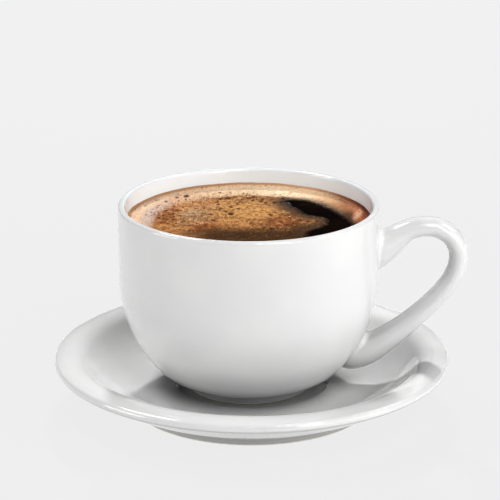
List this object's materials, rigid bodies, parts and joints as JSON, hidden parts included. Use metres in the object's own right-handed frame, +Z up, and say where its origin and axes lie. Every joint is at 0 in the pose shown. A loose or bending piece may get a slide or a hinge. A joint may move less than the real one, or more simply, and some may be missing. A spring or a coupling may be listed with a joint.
{
  "type": "cup of espresso",
  "caption": "White glazed cup with a looped handle on a rolled-rim saucer, filled nearly to the brim with espresso under tan crema that opens on one side.",
  "frame": {"origin": "middle of the bounding box in X and Y, at the height of the table", "axes": "+Z up, +X from the cup towards its handle"},
  "size_m": [0.1118, 0.107, 0.0562],
  "materials": {
    "cup_glaze": "glossy white glaze",
    "saucer_glaze": "glossy white glaze",
    "coffee": "wet, near black",
    "crema": "fine wet foam, tan"
  },
  "bodies": {
    "root": {"cup": "cup_glaze", "saucer": "saucer_glaze", "coffee": "coffee", "crema": "crema"}
  },
  "joints": []
}
